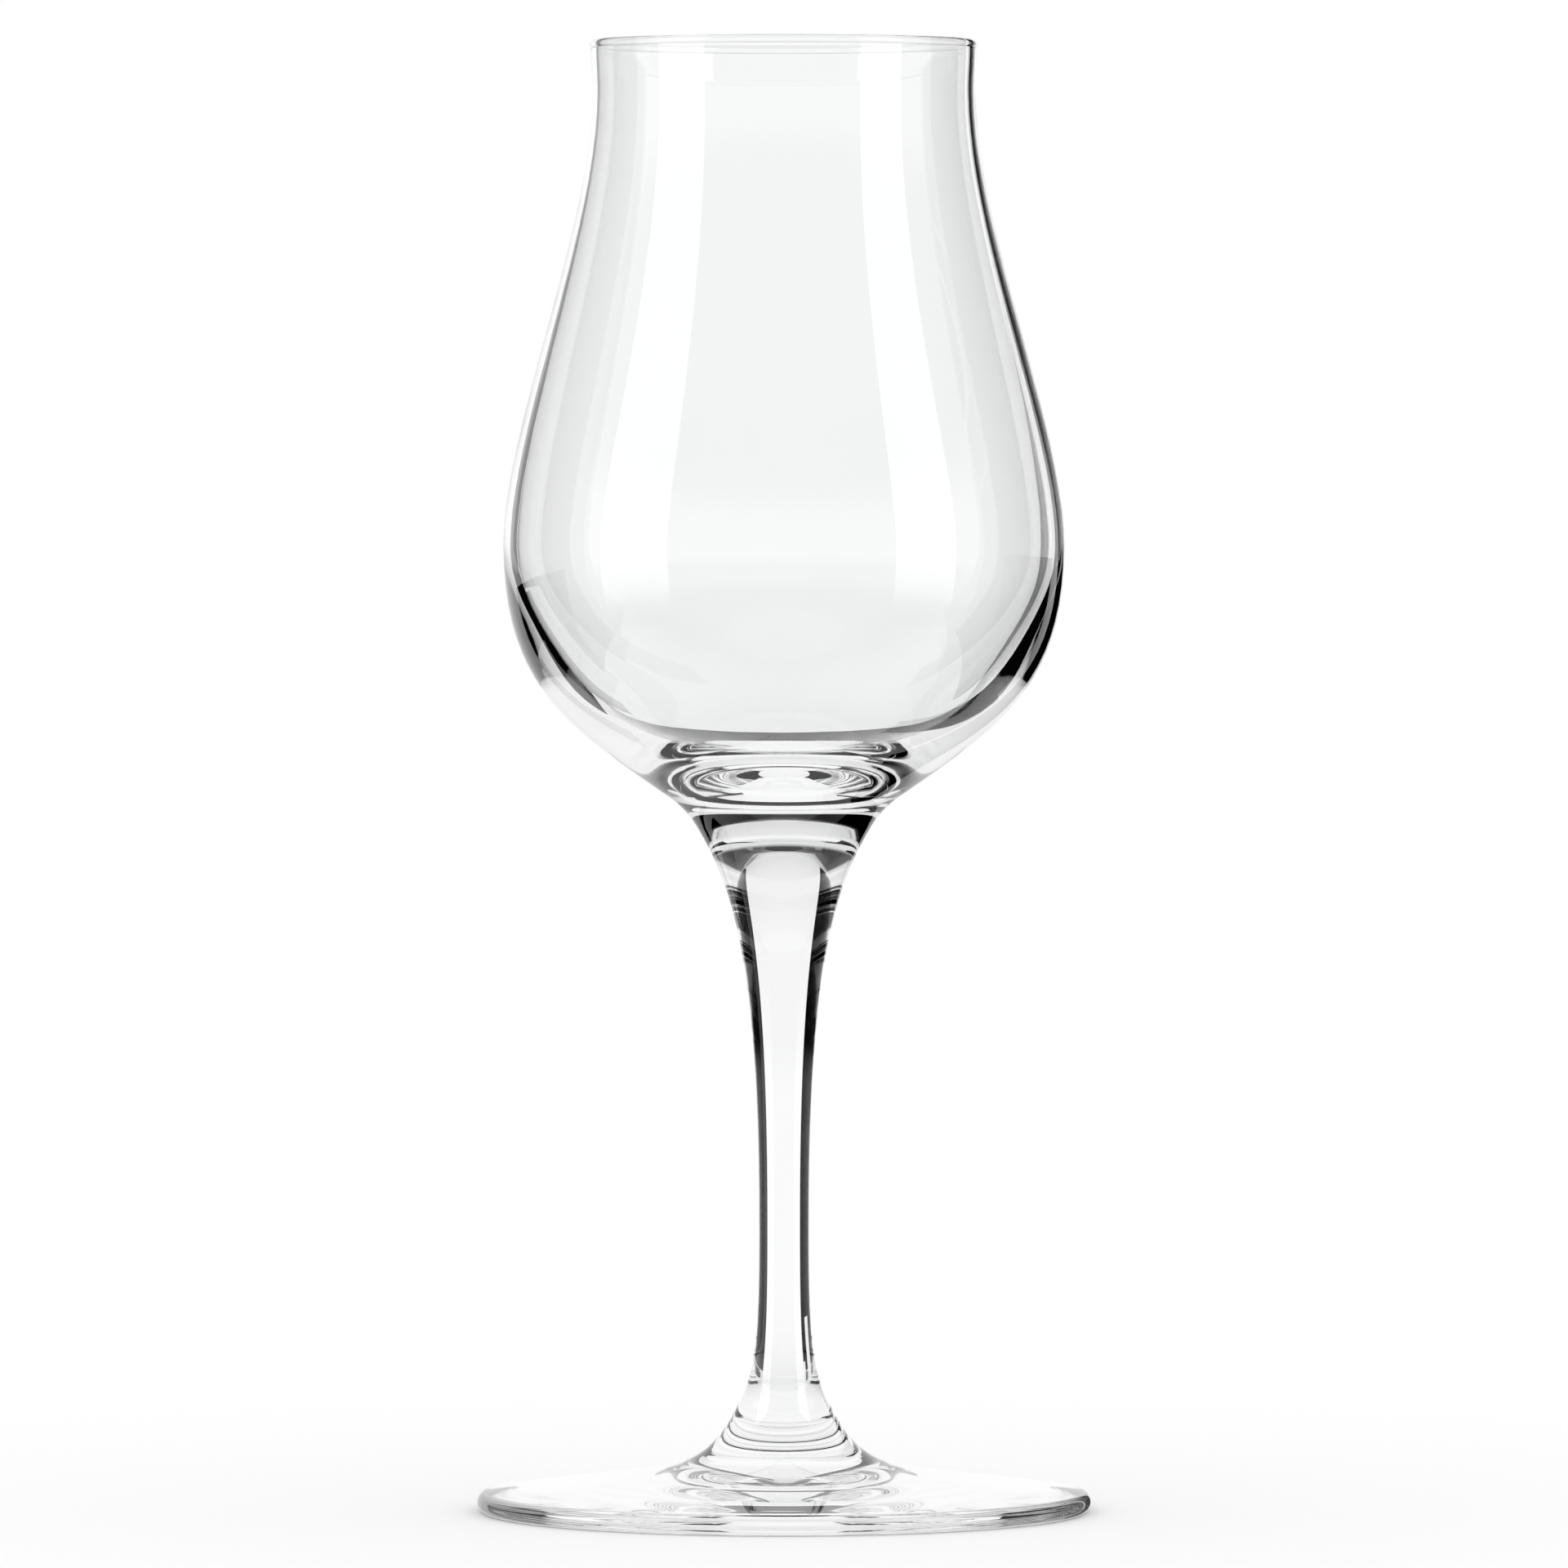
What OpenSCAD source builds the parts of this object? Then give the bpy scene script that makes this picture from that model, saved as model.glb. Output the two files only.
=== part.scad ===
// Stemmed tulip glass for grappa, in clear soda glass: a blown bowl, a drawn stem and a pressed
// foot, joined hot along two rounded seats. Millimetres, +Z up. The origin is on the table, under
// the axis that all three pieces are turned about.

/* [Overall] */
// Height from the table to the top of the rim
glass_h = 170; // [158:1:190]

/* [Bowl outside] */
// Outside diameter at the rim
rim_d = 44.8; // [41:0.2:50]
// Thickness of the rounded bead around the rim
bead_t = 1.1; // [1:0.1:1.6]
// How far the rim stands out from the neck, on each side
lip_flare = 0.3; // [0.2:0.1:1.5]
// Distance from the rim down to the narrowest ring, the neck
neck_drop = 6; // [4:0.5:12]
// Outside diameter at the widest ring, the belly
belly_d = 64.8; // [58:0.2:72]
// Distance from the rim down to the belly
belly_drop = 58.4; // [52:0.2:64]
// Reach of the curve below the neck, where the wall is still upright
neck_reach = 15.5; // [10:0.5:20]
// Reach of the curve above the belly
belly_reach_up = 13.5; // [9:0.5:18]
// Reach of the curve below the belly
belly_reach_down = 16.5; // [12:0.5:19]

/* [Bowl hollow] */
// Wall thickness at the neck
neck_wall = 0.8; // [0.6:0.1:0.9]
// Wall thickness at the belly
belly_wall = 1.6; // [1:0.1:2.4]
// Thickness of the glass between the hollow and the middle of the seat below it
base_t = 7.2; // [4:0.2:10]

/* [Seat of the bowl on the stem] */
// Distance from the rim down to the outer edge of the seat
seat_drop = 89; // [86:0.1:91]
// Diameter of the seat
seat_d = 22.8; // [20:0.2:26]
// How deep the bowl's rounded underside sits in the stem
seat_depth = 2.8; // [2:0.1:3.2]
// Slope of the bowl's underside just above the seat, from level
bowl_slope = 35; // [32:1:40]
// Slope of the stem's cup just below the seat, from level
cup_slope = 60; // [54:1:66]
// Radius of the round between these two slopes, in the crease at the seat
crease_r = 11; // [6:0.5:16]
// Reach of the bowl's curve above the crease
bowl_reach = 13.5; // [10:0.5:17]

/* [Stem] */
// Diameter at the narrowest ring, the waist
waist_d = 5.8; // [4.6:0.1:7]
// Height of the waist above the table
waist_h = 34; // [29:0.5:42]
// Reach of the stem's curve below the crease
cup_reach = 6.5; // [4.5:0.5:8.5]
// Reach of the slender stretch above the waist
slender_reach = 32; // [24:0.5:36]
// Reach of the slender stretch below the waist
ankle_reach = 10; // [6:0.5:12]

/* [Seat of the stem on the foot] */
// Height of the outer edge of the seat above the table
weld_h = 13.2; // [11.5:0.1:15]
// Diameter of the seat
weld_d = 9.8; // [8.6:0.2:11.4]
// How deep the stem's rounded end sits in the foot
weld_depth = 0.8; // [0.4:0.1:1.2]
// Slope of the outside at the seat, from level
weld_slope = 64; // [58:1:70]
// Reach of the curves above and below the seat
weld_reach = 4.4; // [3:0.2:5]

/* [Foot] */
// Diameter of the foot
foot_d = 71; // [62:0.5:80]
// Thickness of the rounded edge
edge_t = 2.4; // [1.8:0.1:3]
// Diameter where the flare under the stem runs out into the plate
shoulder_d = 30; // [26:0.5:36]
// Height of the plate's top there
shoulder_h = 4.9; // [4:0.1:6]
// Reach of the flare's curve above the plate
flare_reach = 6.2; // [4:0.2:8]
// Width of the flat ring that the foot stands on, inside the rounded edge
ring_w = 3.3; // [2:0.1:6]
// Height of the recess inside that ring, in the middle
recess_h = 1.2; // [0.6:0.1:2]

/* [Hidden] */

// Straight steps in each curve of an outline, and steps around each turned piece
curve_steps = 28;
$fn = 180;
glass_tint = [0.93, 0.95, 0.95];

// Radii and heights worked out from the sizes above
rim_r = rim_d / 2;
bead_r = bead_t / 2;
neck_r = rim_r - lip_flare;
neck_z = glass_h - neck_drop;
belly_r = belly_d / 2;
belly_z = glass_h - belly_drop;
seat_r = seat_d / 2;
seat_z = glass_h - seat_drop;
hollow_z = seat_z - seat_depth + base_t;
waist_r = waist_d / 2;
weld_r = weld_d / 2;
foot_r = foot_d / 2;
edge_r = edge_t / 2;
shoulder_r = shoulder_d / 2;
recess_r = foot_r - edge_r - ring_w;

// Unit direction at an angle from level, in the plane of an outline
function along(angle) = [cos(angle), sin(angle)];

// Curve from a to d that leaves a towards b and comes to d from c
function curve(a, b, c, d) = [
    for (i = [0:curve_steps])
        let (t = i / curve_steps, s = 1 - t)
            a * s ^ 3 + b * 3 * s ^ 2 * t + c * 3 * s * t ^ 2 + d * t ^ 3
];

// Arc about a centre, from one angle to another
function arc(centre, r, from, to) = [
    for (i = [0:curve_steps])
        centre + r * along(from + (to - from) * i / curve_steps)
];

// Shallow cap from the axis out to a rim point, sagging below that rim by its depth
function sagging_cap(r, z, depth) =
    let (ball_r = (r ^ 2 + depth ^ 2) / (2 * depth), half = asin(r / ball_r))
        arc([0, z - depth + ball_r], ball_r, -90, -90 + half);

// The points of a list in reverse, and a list without its first point
function reversed(points) = [for (i = [len(points) - 1:-1:0]) points[i]];
function after_first(points) = [for (i = [1:len(points) - 1]) points[i]];

// The two seats, each shared by the pieces that meet on it
bowl_seat = sagging_cap(seat_r, seat_z, seat_depth);
foot_seat = sagging_cap(weld_r, weld_h, weld_depth);
weld_up = [-cos(weld_slope), sin(weld_slope)];

// Bead on the rim: where its round meets the wall below it
bead_centre = [rim_r - bead_r, glass_h - bead_r];
bead_turn = asin(neck_wall / bead_t);
bead_points = arc(bead_centre, bead_r, -90 + bead_turn, 270 - bead_turn);

// Crease around the seat: the bowl has the upper half of its round, and the stem the lower half
mid_slope = (bowl_slope + cup_slope) / 2;
crease_centre = [seat_r, seat_z] + crease_r * along(mid_slope - 90);
crease_high = arc(crease_centre, crease_r, mid_slope + 90, bowl_slope + 90);
crease_low = arc(crease_centre, crease_r, mid_slope + 90, cup_slope + 90);

// Outside of the bowl, from the crease up to the bead
bowl_low = curve(
    crease_high[curve_steps],
    crease_high[curve_steps] + bowl_reach * along(bowl_slope),
    [belly_r, belly_z - belly_reach_down],
    [belly_r, belly_z]
);
bowl_high = curve(
    [belly_r, belly_z],
    [belly_r, belly_z + belly_reach_up],
    [neck_r, neck_z - neck_reach],
    [neck_r, neck_z]
);
lip_outside = curve(
    [neck_r, neck_z],
    [neck_r, neck_z + neck_drop / 3],
    bead_points[0] - [0, neck_drop / 3],
    bead_points[0]
);

// Inside of the bowl, from the bead down to the bottom of the hollow
inner_neck = [neck_r - neck_wall, neck_z];
inner_belly = [belly_r - belly_wall, belly_z];
lip_inside = curve(
    bead_points[curve_steps],
    bead_points[curve_steps] - [0, neck_drop / 3],
    inner_neck + [0, neck_drop / 3],
    inner_neck
);
hollow_high = curve(
    inner_neck,
    inner_neck - [0, neck_reach],
    inner_belly + [0, belly_reach_up],
    inner_belly
);
hollow_low = [
    for (i = [0:curve_steps])
        let (turn = 90 * i / curve_steps)
            [inner_belly[0] * cos(turn), belly_z - (belly_z - hollow_z) * sin(turn)]
];

// Outside of the stem, from the crease down to the foot's seat
stem_high = curve(
    crease_low[curve_steps],
    crease_low[curve_steps] - cup_reach * along(cup_slope),
    [waist_r, waist_h + slender_reach],
    [waist_r, waist_h]
);
stem_low = curve(
    [waist_r, waist_h],
    [waist_r, waist_h - ankle_reach],
    [weld_r, weld_h] + weld_reach * weld_up,
    [weld_r, weld_h]
);

// Edge of the foot: the plate's top runs down from the shoulder to touch the edge's round
edge_centre = [foot_r - edge_r, edge_r];
shoulder = [shoulder_r, shoulder_h];
to_shoulder = shoulder - edge_centre;
edge_turn = atan2(to_shoulder[1], to_shoulder[0]) - acos(edge_r / norm(to_shoulder));
edge_points = arc(edge_centre, edge_r, edge_turn, -90);
plate_fall = along(edge_turn - 90);
flare = curve(
    [weld_r, weld_h],
    [weld_r, weld_h] - weld_reach * weld_up,
    shoulder - flare_reach * plate_fall,
    shoulder
);
recess_points = reversed([for (p = sagging_cap(recess_r, 0, recess_h)) [p[0], -p[1]]]);

// Blown bowl with its beaded rim, tulip hollow and thick rounded base
module bowl() {
    color(glass_tint)
        rotate_extrude()
            polygon(concat(
                bowl_seat,
                after_first(crease_high),
                after_first(bowl_low),
                after_first(bowl_high),
                after_first(lip_outside),
                after_first(bead_points),
                after_first(lip_inside),
                after_first(hollow_high),
                after_first(hollow_low)
            ));
}

// Drawn stem: a shallow cup under the bowl, a slender waist and a rounded lower end
module stem() {
    color(glass_tint)
        rotate_extrude()
            polygon(concat(
                bowl_seat,
                after_first(crease_low),
                after_first(stem_high),
                after_first(reversed(foot_seat))
            ));
}

// Pressed foot: a flare that takes the stem, a sloping plate and a ring to stand on
module foot() {
    color(glass_tint)
        rotate_extrude()
            polygon(concat(
                foot_seat,
                after_first(flare),
                edge_points,
                recess_points
            ));
}

bowl();
stem();
foot();
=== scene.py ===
import math

import bpy
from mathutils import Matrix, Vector


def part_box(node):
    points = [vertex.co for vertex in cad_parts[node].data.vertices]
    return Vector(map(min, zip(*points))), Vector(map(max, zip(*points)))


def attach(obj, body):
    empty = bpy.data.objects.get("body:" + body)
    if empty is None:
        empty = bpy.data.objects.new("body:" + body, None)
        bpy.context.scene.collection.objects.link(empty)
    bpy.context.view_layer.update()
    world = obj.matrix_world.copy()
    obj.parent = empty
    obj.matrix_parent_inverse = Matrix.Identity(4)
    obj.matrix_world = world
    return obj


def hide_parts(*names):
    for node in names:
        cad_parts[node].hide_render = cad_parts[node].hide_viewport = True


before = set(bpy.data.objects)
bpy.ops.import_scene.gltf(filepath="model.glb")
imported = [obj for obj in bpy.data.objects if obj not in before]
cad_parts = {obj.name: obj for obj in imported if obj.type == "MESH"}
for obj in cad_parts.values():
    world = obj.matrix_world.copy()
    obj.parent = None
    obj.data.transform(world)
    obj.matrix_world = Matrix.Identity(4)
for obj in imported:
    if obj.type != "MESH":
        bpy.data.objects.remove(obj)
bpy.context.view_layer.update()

scene = bpy.context.scene

# Bowl
# A tulip blown into a turning mould from clear soda glass, its rim melted to a round bead.
# Its thick rounded base is fused hot into the cup at the top of the stem.
mm = 0.001
glass_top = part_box("bowl")[1].z
rim_radius = 22.4 * mm
bead_radius = 0.55 * mm
neck_radius = 22.1 * mm
neck_height = glass_top - 6 * mm
neck_wall = 0.8 * mm
neck_reach = 15.5 * mm
lip_reach = 2 * mm
belly_radius = 32.4 * mm
belly_height = glass_top - 58.4 * mm
belly_wall = 1.6 * mm
belly_reach_up = 13.5 * mm
belly_reach_down = 16.5 * mm
seat_radius = 11.4 * mm
seat_height = glass_top - 89 * mm
seat_depth = 2.8 * mm
base_thickness = 7.2 * mm
bowl_slope = math.radians(35)
cup_slope = math.radians(60)
crease_radius = 11 * mm
bowl_reach = 13.5 * mm


# Direction at an angle from level, as radius and height
def along(angle):
    return Vector((math.cos(angle), math.sin(angle)))


# One point of an outline, with the handles that lead to it and away from it
def knot(point, before=(0, 0), after=(0, 0)):
    point = Vector(point)
    return point, point + Vector(before), point + Vector(after)


# Points along a round, which is cut into a few equal pieces
def arc_knots(centre, radius, start, end, pieces):
    step = (end - start) / pieces
    reach = radius * 4 / 3 * math.tan(step / 4)
    knots = []
    for i in range(pieces + 1):
        angle = start + step * i
        tangent = along(angle + math.pi / 2) * reach
        knots.append(knot(Vector(centre) + along(angle) * radius, -tangent, tangent))
    return knots


# Runs that share their end points, as one outline
def joined(*runs):
    knots = [list(k) for k in runs[0]]
    for run in runs[1:]:
        knots[-1][2] = run[0][2]
        knots += [list(k) for k in run[1:]]
    return knots


# Shallow round from the axis out to the edge of a seat, sagging below that edge
def sagging_cap(radius, height, depth):
    ball = (radius ** 2 + depth ** 2) / (2 * depth)
    half = math.asin(radius / ball)
    return arc_knots((0, height - depth + ball), ball, -math.pi / 2, -math.pi / 2 + half, 1)


same_point = 0.001 * mm
sharp_edge = math.radians(30)


# An outline turned about the upright axis to a closed mesh
def turned(name, knots, curve_steps, turn_steps=180):
    bpy.ops.object.select_all(action="DESELECT")
    bpy.ops.curve.primitive_bezier_curve_add(location=(0, 0, 0))
    outline = bpy.context.object
    outline.name = outline.data.name = name
    outline.data.resolution_u = curve_steps
    points = outline.data.splines[0].bezier_points
    points.add(len(knots) - len(points))
    for point, (place, before, after) in zip(points, knots):
        point.handle_left_type = point.handle_right_type = "FREE"
        point.co = (place[0], 0, place[1])
        point.handle_left = (before[0], 0, before[1])
        point.handle_right = (after[0], 0, after[1])
    bpy.ops.object.convert(target="MESH")
    bpy.ops.object.mode_set(mode="EDIT")
    bpy.ops.mesh.select_all(action="SELECT")
    bpy.ops.mesh.spin(steps=turn_steps, angle=2 * math.pi, center=(0, 0, 0), axis=(0, 0, 1))
    bpy.ops.mesh.select_all(action="SELECT")
    bpy.ops.mesh.remove_doubles(threshold=same_point)
    bpy.ops.mesh.normals_make_consistent(inside=False)
    bpy.ops.object.mode_set(mode="OBJECT")
    bpy.ops.object.shade_smooth_by_angle(angle=sharp_edge)
    return bpy.context.object


# A colour written as sRGB hex, in the linear values that a shader takes
def linear(hex_colour):
    channels = [int(hex_colour[i:i + 2], 16) / 255 for i in (1, 3, 5)]
    return [c / 12.92 if c <= 0.04045 else ((c + 0.055) / 1.055) ** 2.4 for c in channels] + [1]


# One node of a material, with its settings, its values and its links
def add_node(tree, kind, settings={}, values={}, links={}):
    node = tree.nodes.new(kind)
    for name, value in settings.items():
        setattr(node, name, value)
    for name, value in values.items():
        node.inputs[name].default_value = value
    for name, socket in links.items():
        tree.links.new(socket, node.inputs[name])
    return node


# Clear soda glass, fire-polished. Its skin is smooth and has faint long waves from the mould, which show
# only where the glass is thick, and its melt has faint cords of a slightly greyer tone.
glass_ior = 1.52
wave_spacing = 7 * mm
wave_height = 0.006 * mm
cord_spacing = 20 * mm
clear_glass = bpy.data.materials.new("clear_soda_glass")
clear_glass.use_nodes = True
tree = clear_glass.node_tree
shader = tree.nodes["Principled BSDF"]
place = add_node(tree, "ShaderNodeTexCoord")
cords = add_node(
    tree,
    "ShaderNodeTexNoise",
    values={"Scale": 1 / cord_spacing, "Detail": 3},
    links={"Vector": place.outputs["Object"]},
)
tint = add_node(tree, "ShaderNodeValToRGB", links={"Fac": cords.outputs["Fac"]})
tint.color_ramp.elements[0].color = linear("#FCFDFD")
tint.color_ramp.elements[1].color = linear("#FEFEFE")
waves = add_node(
    tree,
    "ShaderNodeTexNoise",
    values={"Scale": 1 / wave_spacing, "Detail": 1},
    links={"Vector": place.outputs["Object"]},
)
skin = add_node(
    tree,
    "ShaderNodeBump",
    values={"Strength": 1.0, "Distance": wave_height},
    links={"Height": waves.outputs["Fac"]},
)
tree.links.new(tint.outputs["Color"], shader.inputs["Base Color"])
tree.links.new(skin.outputs["Normal"], shader.inputs["Normal"])
shader.inputs["IOR"].default_value = glass_ior
shader.inputs["Transmission Weight"].default_value = 1.0
shader.inputs["Roughness"].default_value = 0.0

# The same glass where two pieces are fused. No boundary shows there, so it bends no light.
fused_glass = bpy.data.materials.new("fused_soda_glass")
fused_glass.use_nodes = True
shader = fused_glass.node_tree.nodes["Principled BSDF"]
shader.inputs["Base Color"].default_value = linear("#FFFFFF")
shader.inputs["Roughness"].default_value = 0.0
shader.inputs["IOR"].default_value = 1.0
shader.inputs["Transmission Weight"].default_value = 1.0

bead_centre = Vector((rim_radius - bead_radius, glass_top - bead_radius))
bead_turn = math.asin(neck_wall / 2 / bead_radius)
bead = arc_knots(bead_centre, bead_radius, -math.pi / 2 + bead_turn, 1.5 * math.pi - bead_turn, 4)
mid_slope = (bowl_slope + cup_slope) / 2
crease_centre = Vector((seat_radius, seat_height)) + crease_radius * along(mid_slope - math.pi / 2)


# Half of the round in the crease at the seat, from its middle to one of the two slopes
def crease_round(slope):
    return arc_knots(crease_centre, crease_radius, mid_slope + math.pi / 2, slope + math.pi / 2, 1)


crease_high = crease_round(bowl_slope)
hollow_floor = seat_height - seat_depth + base_thickness
round_share = 4 / 3 * (math.sqrt(2) - 1)
inner_belly = belly_radius - belly_wall
bowl_outline = joined(
    sagging_cap(seat_radius, seat_height, seat_depth),
    crease_high,
    [
        knot(crease_high[-1][0], after=bowl_reach * along(bowl_slope)),
        knot((belly_radius, belly_height), (0, -belly_reach_down), (0, belly_reach_up)),
        knot((neck_radius, neck_height), (0, -neck_reach), (0, lip_reach)),
        knot(bead[0][0], before=(0, -lip_reach)),
    ],
    bead,
    [
        knot(bead[-1][0], after=(0, -lip_reach)),
        knot((neck_radius - neck_wall, neck_height), (0, lip_reach), (0, -neck_reach)),
        knot(
            (inner_belly, belly_height),
            (0, belly_reach_up),
            (0, (hollow_floor - belly_height) * round_share),
        ),
        knot((0, hollow_floor), before=(inner_belly * round_share, 0)),
    ],
)
bowl = turned("bowl_blown", bowl_outline, 20)


# Clear glass all over a piece, and fused glass on the faces of its seats
def lay_glass(piece, is_fused):
    piece.data.materials.clear()
    piece.data.materials.append(clear_glass)
    piece.data.materials.append(fused_glass)
    for face in piece.data.polygons:
        face.material_index = 1 if is_fused(face) else 0
    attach(piece, "root")


lay_glass(bowl, lambda face: face.center.z < seat_height)
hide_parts("bowl")

# Stem
# A gob of the same glass, pressed and drawn out while soft to a slender waist.
# Its upper end is a shallow cup for the bowl, and its rounded lower end is fused to the foot.
waist_radius = 2.9 * mm
waist_height = 34 * mm
cup_reach = 6.5 * mm
slender_reach = 32 * mm
ankle_reach = 10 * mm
weld_radius = 4.9 * mm
weld_height = 13.2 * mm
weld_depth = 0.8 * mm
weld_slope = math.radians(64)
weld_reach = 4.4 * mm
weld_up = Vector((-math.cos(weld_slope), math.sin(weld_slope))) * weld_reach
foot_seat = sagging_cap(weld_radius, weld_height, weld_depth)
foot_seat_inward = [(place, after, before) for place, before, after in reversed(foot_seat)]
crease_low = crease_round(cup_slope)
stem_outline = joined(
    sagging_cap(seat_radius, seat_height, seat_depth),
    crease_low,
    [
        knot(crease_low[-1][0], after=-cup_reach * along(cup_slope)),
        knot((waist_radius, waist_height), (0, slender_reach), (0, -ankle_reach)),
        knot((weld_radius, weld_height), before=weld_up),
    ],
    foot_seat_inward,
)
stem = turned("stem_drawn", stem_outline, 40)

# The faces of its two seats are those that look nearly straight up, or down at the lower end
upright = 0.7
lay_glass(
    stem,
    lambda face: face.normal.z > upright or (face.normal.z < -upright and face.center.z < weld_height),
)
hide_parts("stem")

# Foot
# A gob pressed flat and spun out under the stem, with a fire-polished round edge.
# It stands on a flat ring around a shallow recess that the press leaves.
foot_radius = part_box("foot")[1].x
edge_radius = 1.2 * mm
shoulder = Vector((15 * mm, 4.9 * mm))
flare_reach = 6.2 * mm
ring_width = 3.3 * mm
recess_height = 1.2 * mm
edge_centre = Vector((foot_radius - edge_radius, edge_radius))
to_shoulder = shoulder - edge_centre
edge_turn = math.atan2(to_shoulder.y, to_shoulder.x) - math.acos(edge_radius / to_shoulder.length)
plate_fall = along(edge_turn - math.pi / 2)
edge = arc_knots(edge_centre, edge_radius, edge_turn, -math.pi / 2, 2)
recess_radius = foot_radius - edge_radius - ring_width
recess = [
    (Vector((p.x, -p.y)), Vector((a.x, -a.y)), Vector((b.x, -b.y)))
    for p, b, a in reversed(sagging_cap(recess_radius, 0, recess_height))
]
foot_outline = joined(
    foot_seat,
    [
        knot((weld_radius, weld_height), after=-weld_up),
        knot(shoulder, -flare_reach * plate_fall, (edge[0][0] - shoulder) / 3),
        knot(edge[0][0], (shoulder - edge[0][0]) / 3),
    ],
    edge,
    [
        knot(edge[-1][0], after=(-ring_width / 3, 0)),
        knot((recess_radius, 0), before=(ring_width / 3, 0)),
    ],
    recess,
)
foot = turned("foot_pressed", foot_outline, 24)

# The faces of its seat lie inside the seat's edge, and no lower than the seat's middle
seat_slack = 0.01 * mm
lay_glass(
    foot,
    lambda face: face.center.xy.length < weld_radius
    and weld_height - weld_depth < face.center.z + seat_slack,
)
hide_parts("foot")

# Floor
# A plain white table top, lit evenly, so that only the soft shadow shows.
# The glass sees the white surround and not the table through its walls.
table_width = 8
bpy.ops.object.select_all(action="DESELECT")
bpy.ops.mesh.primitive_plane_add(size=table_width, location=(0, 0, 0))
floor = bpy.context.object
floor.name = "floor"
paper = bpy.data.materials.new("white_paper")
paper.use_nodes = True
shader = paper.node_tree.nodes["Principled BSDF"]
shader.inputs["Base Color"].default_value = linear("#F4F4F4")
shader.inputs["Roughness"].default_value = 0.9
shader.inputs["Specular IOR Level"].default_value = 0.0
floor.data.materials.append(paper)
floor.visible_glossy = floor.visible_transmission = False

# Studio
# A white surround that the camera and the glass see, with the unlit top of the room behind the camera.
# Black cards draw the dark edges of the glass, and two tall softboxes the bright bands on the bowl.
# Light that has turned many times in the thick base misses the cards, so that the base stays clear.
white_level = 1.0
room_level = 0.45
paper_light = 1.12
unlit_level = 0.02
under_table_level = 0.72
backdrop_bearing = math.radians(-25)

# Each fade: the two shares of a direction between which the surround changes its tone
room_fade = (-0.1, 0.45)
under_table_fade = (-0.25, 0.02)
behind_camera_fade = (0.25, -0.05)
overhead_fade = (0.15, 0.3)

# How bright the surround is behind the glass, at each elevation in degrees
sweep_levels = [(-90, 0.98), (-55, 0.98), (-23, 0.9), (-5, 1.0), (9, 1.0), (22, 0.93), (55, 0.86)]
world = bpy.data.worlds.new("studio")
scene.world = world
world.use_nodes = True
tree = world.node_tree
rays = add_node(tree, "ShaderNodeLightPath")
heading = add_node(tree, "ShaderNodeTexCoord")
towards_backdrop = add_node(
    tree,
    "ShaderNodeVectorMath",
    {"operation": "DOT_PRODUCT"},
    {1: (math.sin(backdrop_bearing), math.cos(backdrop_bearing), 0)},
    {0: heading.outputs["Generated"]},
)
room = add_node(
    tree,
    "ShaderNodeMapRange",
    {"interpolation_type": "SMOOTHSTEP"},
    {"From Min": room_fade[0], "From Max": room_fade[1], "To Min": room_level, "To Max": white_level},
    {"Value": towards_backdrop.outputs["Value"]},
)
axes = add_node(tree, "ShaderNodeSeparateXYZ", links={"Vector": heading.outputs["Generated"]})
under_table = add_node(
    tree,
    "ShaderNodeMapRange",
    {"interpolation_type": "SMOOTHSTEP"},
    {
        "From Min": under_table_fade[0],
        "From Max": under_table_fade[1],
        "To Min": under_table_level,
        "To Max": 1,
    },
    {"Value": axes.outputs["Z"]},
)
mirrored = add_node(
    tree,
    "ShaderNodeMath",
    {"operation": "MULTIPLY"},
    links={0: room.outputs["Result"], 1: under_table.outputs["Result"]},
)
rise = add_node(
    tree,
    "ShaderNodeMapRange",
    values={"From Min": -1, "From Max": 1},
    links={"Value": axes.outputs["Z"]},
)
sweep = add_node(tree, "ShaderNodeValToRGB", links={"Fac": rise.outputs["Result"]})
sweep.color_ramp.interpolation = "EASE"
stops = sweep.color_ramp.elements
while len(stops) < len(sweep_levels):
    stops.new(0.5)
for stop, (elevation, brightness) in zip(stops, sweep_levels):
    stop.position = (math.sin(math.radians(elevation)) + 1) / 2
    stop.color = (brightness, brightness, brightness, 1)
behind_camera = add_node(
    tree,
    "ShaderNodeMapRange",
    {"interpolation_type": "SMOOTHSTEP"},
    {"From Min": behind_camera_fade[0], "From Max": behind_camera_fade[1]},
    {"Value": axes.outputs["Y"]},
)
overhead = add_node(
    tree,
    "ShaderNodeMapRange",
    {"interpolation_type": "SMOOTHSTEP"},
    {"From Min": overhead_fade[0], "From Max": overhead_fade[1]},
    {"Value": axes.outputs["Z"]},
)
unlit = add_node(
    tree,
    "ShaderNodeMath",
    {"operation": "MULTIPLY"},
    links={0: behind_camera.outputs["Result"], 1: overhead.outputs["Result"]},
)
seen_through = add_node(
    tree,
    "ShaderNodeMix",
    values={"B": unlit_level},
    links={"Factor": unlit.outputs["Value"], "A": sweep.outputs["Color"]},
)
lit = add_node(
    tree,
    "ShaderNodeMix",
    values={"A": paper_light},
    links={"Factor": rays.outputs["Is Glossy Ray"], "B": mirrored.outputs["Value"]},
)
through = add_node(
    tree,
    "ShaderNodeMix",
    links={
        "Factor": rays.outputs["Is Transmission Ray"],
        "A": lit.outputs["Result"],
        "B": seen_through.outputs["Result"],
    },
)
level = add_node(
    tree,
    "ShaderNodeMix",
    values={"B": white_level},
    links={"Factor": rays.outputs["Is Camera Ray"], "A": through.outputs["Result"]},
)
tree.links.new(level.outputs["Result"], tree.nodes["Background"].inputs["Strength"])
tree.nodes["Background"].inputs["Color"].default_value = linear("#FFFFFF")

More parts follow.
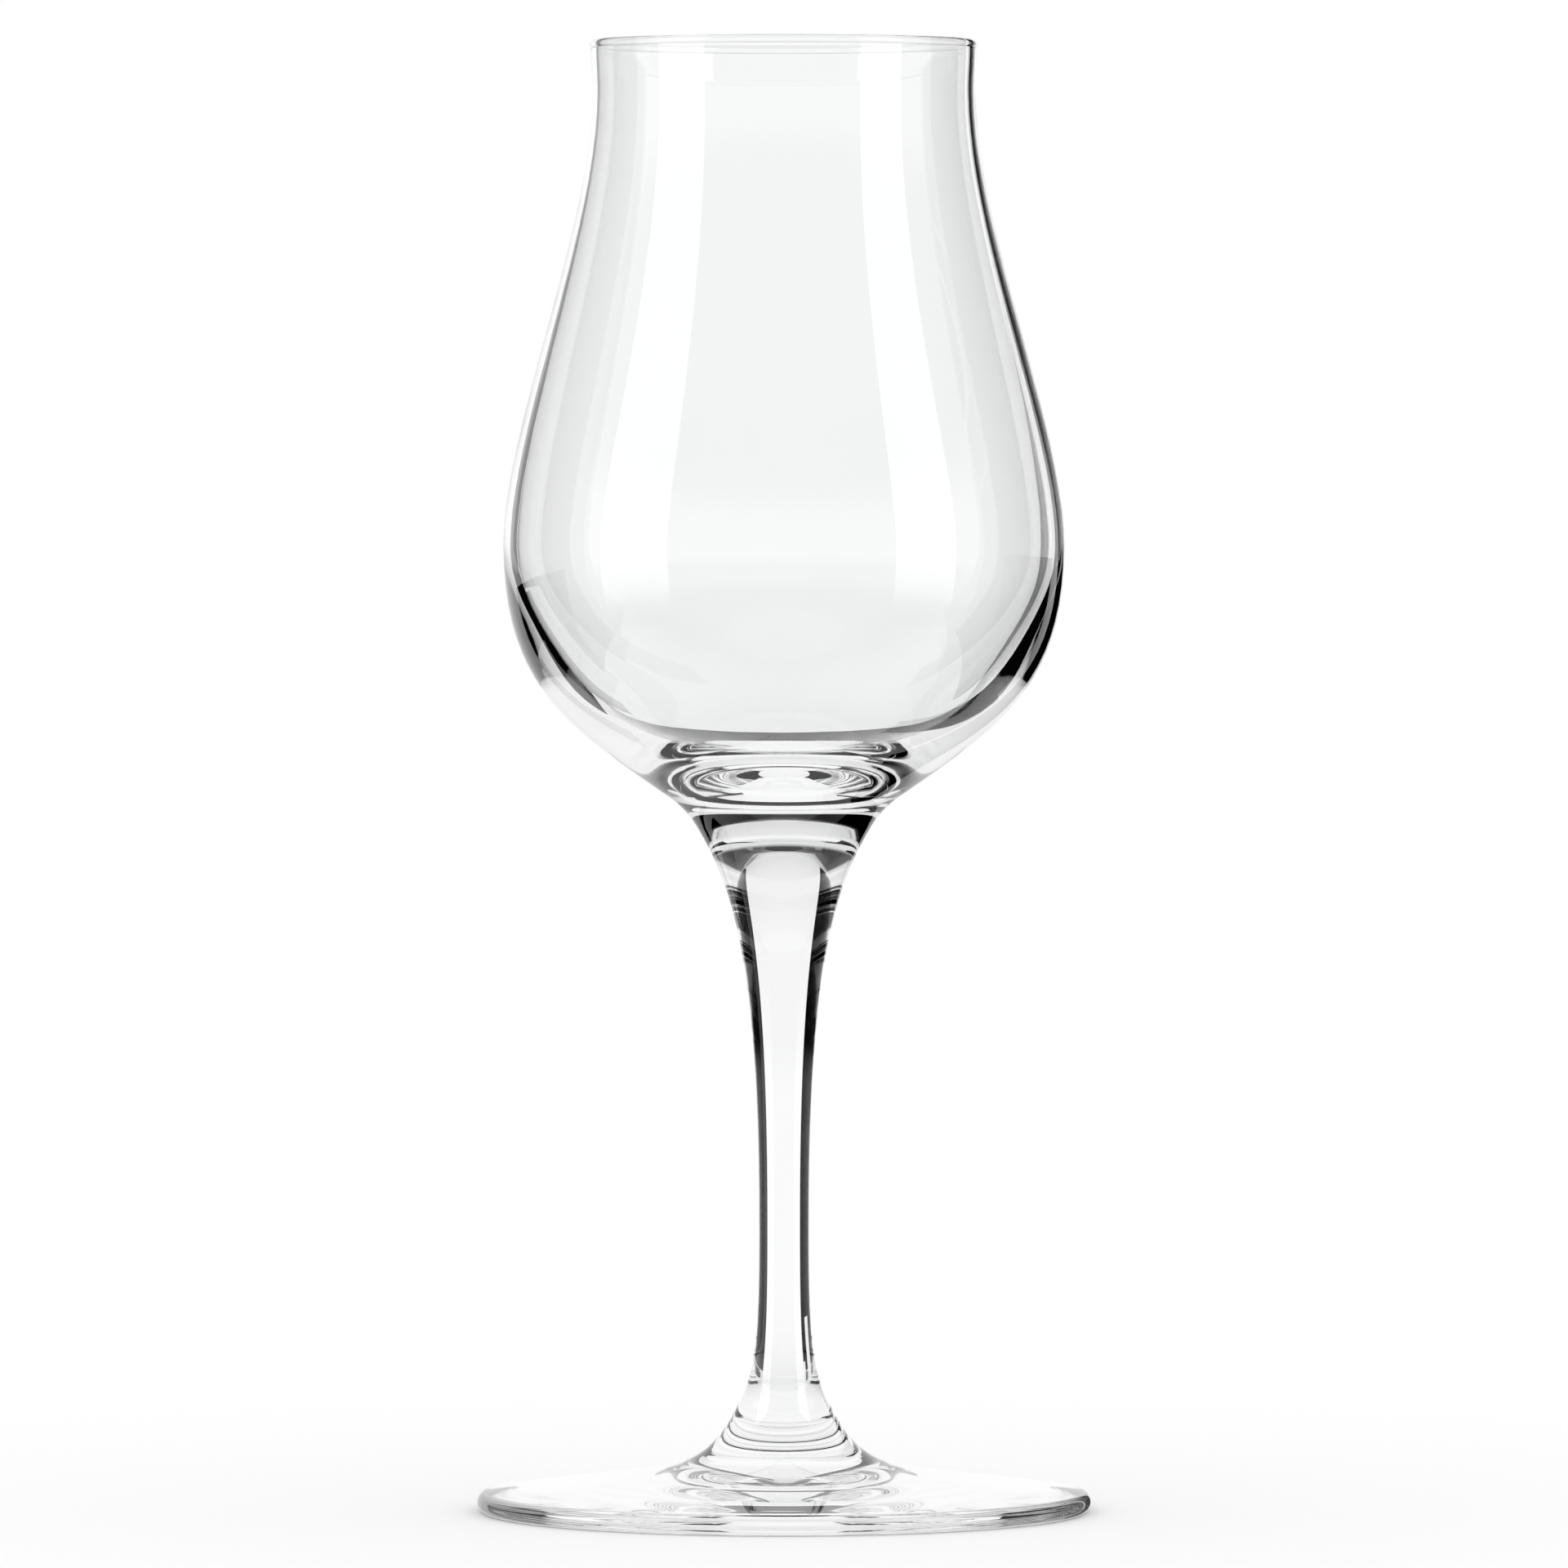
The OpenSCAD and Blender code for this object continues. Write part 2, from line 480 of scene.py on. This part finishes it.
# Turns of light in the glass from which it shows the stem's card, and from which it misses every card
straight_path = 3.5
deep_path = 7.5


# Matt black card, which shows only to light whose turns lie between from_depth and deep_path
def card_stock(name, from_depth):
    stock = bpy.data.materials.new(name)
    stock.use_nodes = True
    tree = stock.node_tree
    shader = tree.nodes["Principled BSDF"]
    shader.inputs["Base Color"].default_value = linear("#050505")
    shader.inputs["Roughness"].default_value = 1.0
    shader.inputs["Specular IOR Level"].default_value = 0.0
    rays = add_node(tree, "ShaderNodeLightPath")
    seen = add_node(
        tree,
        "ShaderNodeMath",
        {"operation": "COMPARE"},
        {1: (from_depth + deep_path) / 2, 2: (deep_path - from_depth) / 2},
        {0: rays.outputs["Ray Depth"]},
    )
    tree.links.new(seen.outputs["Value"], shader.inputs["Alpha"])
    return stock


black_card = card_stock("black_card", 0)
stem_card = card_stock("black_stem_card", straight_path)

# White cloth, lit from inside, with a glow that fades out towards the bottom of the box
softbox_level = 2.6
softbox_fade = (-0.5, -0.2)
softbox_cloth = bpy.data.materials.new("softbox_cloth")
softbox_cloth.use_nodes = True
tree = softbox_cloth.node_tree
place = add_node(tree, "ShaderNodeTexCoord")
up_the_box = add_node(tree, "ShaderNodeSeparateXYZ", links={"Vector": place.outputs["Object"]})
glow = add_node(
    tree,
    "ShaderNodeMapRange",
    {"interpolation_type": "SMOOTHSTEP"},
    {"From Min": softbox_fade[0], "From Max": softbox_fade[1], "To Min": 0, "To Max": softbox_level},
    {"Value": up_the_box.outputs["Y"]},
)
shader = tree.nodes["Principled BSDF"]
shader.inputs["Base Color"].default_value = linear("#000000")
shader.inputs["Emission Color"].default_value = linear("#FFFFFF")
tree.links.new(glow.outputs["Result"], shader.inputs["Emission Strength"])


# A card that stands upright and faces the axis. Its distance and heights are in millimetres, and its
# bearings in degrees: 0 is straight behind the glass.
def stand_card(name, material, distance, bearings, heights):
    reach = distance * mm
    left, right = [math.radians(bearing) for bearing in bearings]
    low, high = [height * mm for height in heights]
    middle = (left + right) / 2
    width = 2 * reach * math.tan((right - left) / 2)
    place = (reach * math.sin(middle), reach * math.cos(middle), (low + high) / 2)
    bpy.ops.object.select_all(action="DESELECT")
    bpy.ops.mesh.primitive_plane_add(size=1, location=place, rotation=(math.pi / 2, 0, -middle))
    card = bpy.context.object
    card.name = name
    card.scale = (width, high - low, 1)
    card.data.materials.append(material)
    card.visible_camera = card.visible_shadow = card.visible_diffuse = False
    return card


# Each flag: its distance, bearings and heights, and whether it shows in reflections and through the glass.
# Some reach below the table, which the glass doesn't see.
flags = [
    (240, (-39, -29), (-60, 320), False, True),
    (100, (30, 44), (-40, 260), True, True),
    (100, (44, 105), (-40, 45), True, False),
    (600, (-80, -35), (60, 560), False, True),
    (600, (-80, -35), (-70, 60), True, True),
    (600, (-80, -51), (-450, -70), True, True),
    (600, (-39, -33), (-450, -70), True, True),
    (600, (38, 80), (95, 560), False, True),
    (600, (38, 80), (-450, 95), True, True),
]
for distance, bearings, heights, in_mirror, through_glass in flags:
    card = stand_card("black_flag", black_card, distance, bearings, heights)
    card.visible_glossy = in_mirror
    card.visible_transmission = through_glass
stand_card("stem_flag", stem_card, 70, (-32, 32), (28, 56))
softbox_distance = 1000
softbox_heights = (-350, 1100)
for bearings in ((-132, -100), (106, 134)):
    card = stand_card("tall_softbox", softbox_cloth, softbox_distance, bearings, softbox_heights)
    card.visible_transmission = False

# Camera
# A long lens at the height of the belly, as in the photo: the foot is seen from a little above
# and the rim from a little below.
lens_distance = 1.51
lens_height = 123 * mm
frame_width = 181.1 * mm
aim = Vector((0, 0, 84.15 * mm))
camera_data = bpy.data.cameras.new("camera")
camera = bpy.data.objects.new("camera", camera_data)
scene.collection.objects.link(camera)
camera.location = (0, -lens_distance, lens_height)
to_aim = aim - camera.location
camera.rotation_euler = to_aim.to_track_quat("-Z", "Y").to_euler()
camera_data.lens = camera_data.sensor_width * to_aim.length / frame_width
camera_data.clip_start = 0.01
camera_data.clip_end = 20
scene.camera = camera
scene.view_settings.view_transform = "Standard"

# Light turns many times in the thick glass, so its paths are long
scene.cycles.max_bounces = 32
scene.cycles.transmission_bounces = 32
scene.cycles.glossy_bounces = 16
